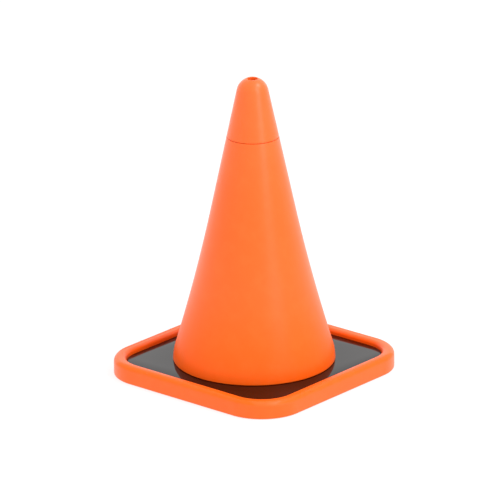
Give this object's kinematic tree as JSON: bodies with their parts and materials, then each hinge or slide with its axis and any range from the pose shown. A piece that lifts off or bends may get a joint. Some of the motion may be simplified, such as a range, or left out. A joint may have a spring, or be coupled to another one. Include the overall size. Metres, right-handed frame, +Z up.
{
  "type": "traffic cone",
  "caption": "Weighted traffic cone: hollow flared cone with a lift-off domed cap, on a ballast slab held in a square tray with a raised rim.",
  "frame": {"origin": "on the ground, on the cone's axis: the centre of the tray at the underside of its rubber feet", "axes": "+Z up along the cone's axis, +X and +Y square to the tray's sides"},
  "size_m": [0.225, 0.225, 0.305],
  "materials": {
    "cone_orange": "satin moulded plastic, safety orange",
    "tray_orange": "satin moulded plastic, safety orange",
    "slab_black": "glossy black, slightly streaked",
    "ring_black": "matte black moulded plastic",
    "screw_zinc": "bright zinc-plated steel",
    "foot_rubber": "matte black rubber"
  },
  "bodies": {
    "base": {"cone_body": "cone_orange", "base_tray": "tray_orange", "ballast_slab": "slab_black", "retaining_ring": "ring_black", "screw_1": "screw_zinc", "screw_2": "screw_zinc", "screw_3": "screw_zinc", "screw_4": "screw_zinc", "screw_5": "screw_zinc", "screw_6": "screw_zinc", "screw_7": "screw_zinc", "screw_8": "screw_zinc", "foot_1": "foot_rubber", "foot_2": "foot_rubber", "foot_3": "foot_rubber", "foot_4": "foot_rubber"},
    "cap": {"top_cap": "cone_orange"}
  },
  "joints": [
    {"name": "cap_lift", "type": "slide", "parent": "base", "child": "cap", "axis": [0, 0, 1], "range_m": [0, 0.05]}
  ]
}
